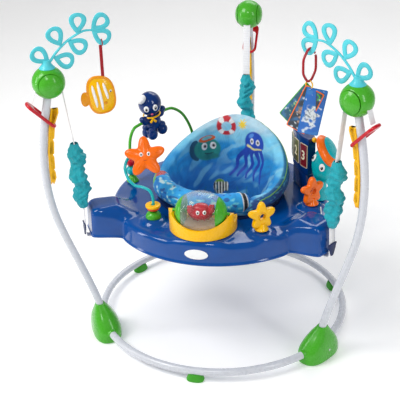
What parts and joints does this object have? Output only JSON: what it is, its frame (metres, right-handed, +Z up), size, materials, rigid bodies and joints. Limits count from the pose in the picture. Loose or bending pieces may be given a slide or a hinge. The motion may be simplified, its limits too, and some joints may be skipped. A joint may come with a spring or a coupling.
{
  "type": "activity jumper",
  "caption": "Baby activity jumper: a round tube base with bowed legs carries a toy tray on springs, with a padded seat that turns, leaf-shaped toy bars and hanging toys.",
  "frame": {"origin": "on the floor, below the middle of the outer box; the floor ring's centre lies 78 mm towards -Y from it", "axes": "+Z up; -Y is the front, which the child faces; +X is the child's left"},
  "size_m": [0.9558, 0.936, 0.9985],
  "materials": {
    "white_tube": "pearl white gloss powder coat",
    "green_plastic": "glossy moulded plastic",
    "yellow_plastic": "glossy moulded plastic",
    "red_plastic": "glossy moulded plastic",
    "aqua_plastic": "satin flexible plastic",
    "webbing": "woven polyester webbing",
    "spring_steel": "plain drawn wire",
    "teal_fabric": "gathered woven sleeve",
    "navy_plastic": "satin moulded plastic",
    "tray_blue": "high gloss moulded plastic",
    "blue_plastic": "glossy moulded plastic",
    "seat_fabric": "padded woven polyester",
    "clear_plastic": "clear polished plastic",
    "orange_plastic": "glossy moulded plastic",
    "teal_plastic": "glossy moulded plastic",
    "card_blue": "satin printed plastic"
  },
  "bodies": {
    "frame": {"ring_tube_left": "white_tube", "ring_tube_front": "white_tube", "ring_tube_right": "white_tube", "upright_front_left": "white_tube", "upright_front_right": "white_tube", "upright_back": "white_tube", "leg_socket_front_left": "green_plastic", "leg_socket_front_right": "green_plastic", "leg_socket_back": "green_plastic", "floor_pad_front": "green_plastic", "floor_pad_left": "green_plastic", "floor_pad_right": "green_plastic", "ball_shell_front_left": "green_plastic", "ball_shell_front_right": "green_plastic", "ball_shell_back": "green_plastic", "ball_cover_front_left": "green_plastic", "ball_cover_front_right": "green_plastic", "ball_cover_back": "green_plastic", "rack_front_left": "yellow_plastic", "rack_front_right": "yellow_plastic", "rack_back": "yellow_plastic", "leaf_branch_left": "aqua_plastic", "leaf_branch_right": "aqua_plastic"},
    "hanger": {"strap_front_left": "webbing", "strap_front_right": "webbing", "strap_back": "webbing", "spring_front_left": "spring_steel", "spring_front_right": "spring_steel", "spring_back": "spring_steel"},
    "handle_front_left": {"handle_front_left": "red_plastic"},
    "handle_front_right": {"handle_front_right": "red_plastic"},
    "handle_back": {"handle_back": "red_plastic"},
    "tray": {"tray_top": "tray_blue", "tray_bottom": "tray_blue", "strap_hook_front_left": "navy_plastic", "strap_hook_front_right": "navy_plastic", "strap_hook_back": "navy_plastic", "spring_cover_front_left": "teal_fabric", "spring_cover_front_right": "teal_fabric", "spring_cover_back": "teal_fabric", "drum_base": "yellow_plastic", "star_post_yellow": "yellow_plastic", "star_post_orange": "orange_plastic", "star_stalk": "teal_plastic", "toy_arch": "green_plastic", "piano_housing": "blue_plastic", "piano_turtle": "teal_plastic"},
    "seat": {"seat_ring": "navy_plastic", "seat_pad": "seat_fabric"},
    "drum": {"drum_spool": "green_plastic", "drum_window": "clear_plastic", "drum_crab": "red_plastic"},
    "disc": {"stalk_disc": "yellow_plastic"},
    "star": {"stalk_star": "orange_plastic"},
    "octopus": {"octopus": "blue_plastic"},
    "key_1": {"piano_key_1": "green_plastic"},
    "key_2": {"piano_key_2": "yellow_plastic"},
    "key_3": {"piano_key_3": "red_plastic"},
    "fish": {"toy_fish": "yellow_plastic"},
    "cards": {"toy_cards": "card_blue"}
  },
  "joints": [
    {"name": "height_adjust", "type": "slide", "parent": "frame", "child": "hanger", "axis": [0, 0, 1], "range_m": [0, 0.135], "deforming": ["strap_front_left", "strap_front_right", "strap_back"]},
    {"name": "tray_bounce", "type": "slide", "parent": "hanger", "child": "tray", "axis": [0, 0, 1], "range_m": [-0.09, 0], "stiffness_N_per_m": 1500, "springref_m": 0.075, "deforming": ["spring_front_left", "spring_front_right", "spring_back", "spring_cover_front_left", "spring_cover_front_right", "spring_cover_back"]},
    {"name": "handle_slide_front_left", "type": "slide", "parent": "frame", "child": "handle_front_left", "axis": [0.0684, 0.0395, 0.9969], "range_m": [-0.135, 0]},
    {"name": "handle_slide_front_right", "type": "slide", "parent": "frame", "child": "handle_front_right", "axis": [-0.0684, 0.0395, 0.9969], "range_m": [-0.135, 0]},
    {"name": "handle_slide_back", "type": "slide", "parent": "frame", "child": "handle_back", "axis": [0, -0.079, 0.9969], "range_m": [-0.135, 0]},
    {"name": "seat_spin", "type": "hinge", "parent": "tray", "child": "seat", "pos_m": [0, -0.07804, 0.41], "axis": [0, 0, 1], "continuous": true},
    {"name": "drum_spin", "type": "hinge", "parent": "tray", "child": "drum", "pos_m": [0.002, -0.33404, 0.477], "axis": [1, 0, 0], "continuous": true},
    {"name": "disc_spin", "type": "hinge", "parent": "tray", "child": "disc", "pos_m": [-0.149, -0.28504, 0.4625], "axis": [0, 0, 1], "continuous": true},
    {"name": "star_spin", "type": "hinge", "parent": "tray", "child": "star", "pos_m": [-0.177, -0.24304, 0.588], "axis": [0.2504, -0.8514, 0.4608], "continuous": true},
    {"name": "octopus_swing", "type": "hinge", "parent": "tray", "child": "octopus", "pos_m": [-0.2335, 0.03556, 0.5935], "axis": [0.5263, 0.8355, 0.158], "range_deg": [-25, 25]},
    {"name": "key_1_press", "type": "slide", "parent": "tray", "child": "key_1", "axis": [0.9636, 0.2672, 0], "range_m": [0, 0.003], "stiffness_N_per_m": 400, "springref_m": -0.001},
    {"name": "key_2_press", "type": "slide", "parent": "tray", "child": "key_2", "axis": [0.8746, 0.4848, 0], "range_m": [0, 0.003], "stiffness_N_per_m": 400, "springref_m": -0.001},
    {"name": "key_3_press", "type": "slide", "parent": "tray", "child": "key_3", "axis": [0.7373, 0.6756, 0], "range_m": [0, 0.003], "stiffness_N_per_m": 400, "springref_m": -0.001},
    {"name": "fish_swing", "type": "hinge", "parent": "frame", "child": "fish", "pos_m": [-0.28059, -0.24004, 0.9155], "axis": [-0.866, -0.5, 0], "range_deg": [-15, 15]},
    {"name": "cards_swing", "type": "hinge", "parent": "frame", "child": "cards", "pos_m": [0.28059, -0.24004, 0.9155], "axis": [0.866, -0.5, 0], "range_deg": [-15, 15]}
  ],
  "couplings": [
    {"joint": "handle_slide_front_left", "follows": "height_adjust", "ratio": -1},
    {"joint": "handle_slide_front_right", "follows": "height_adjust", "ratio": -1},
    {"joint": "handle_slide_back", "follows": "height_adjust", "ratio": -1}
  ]
}
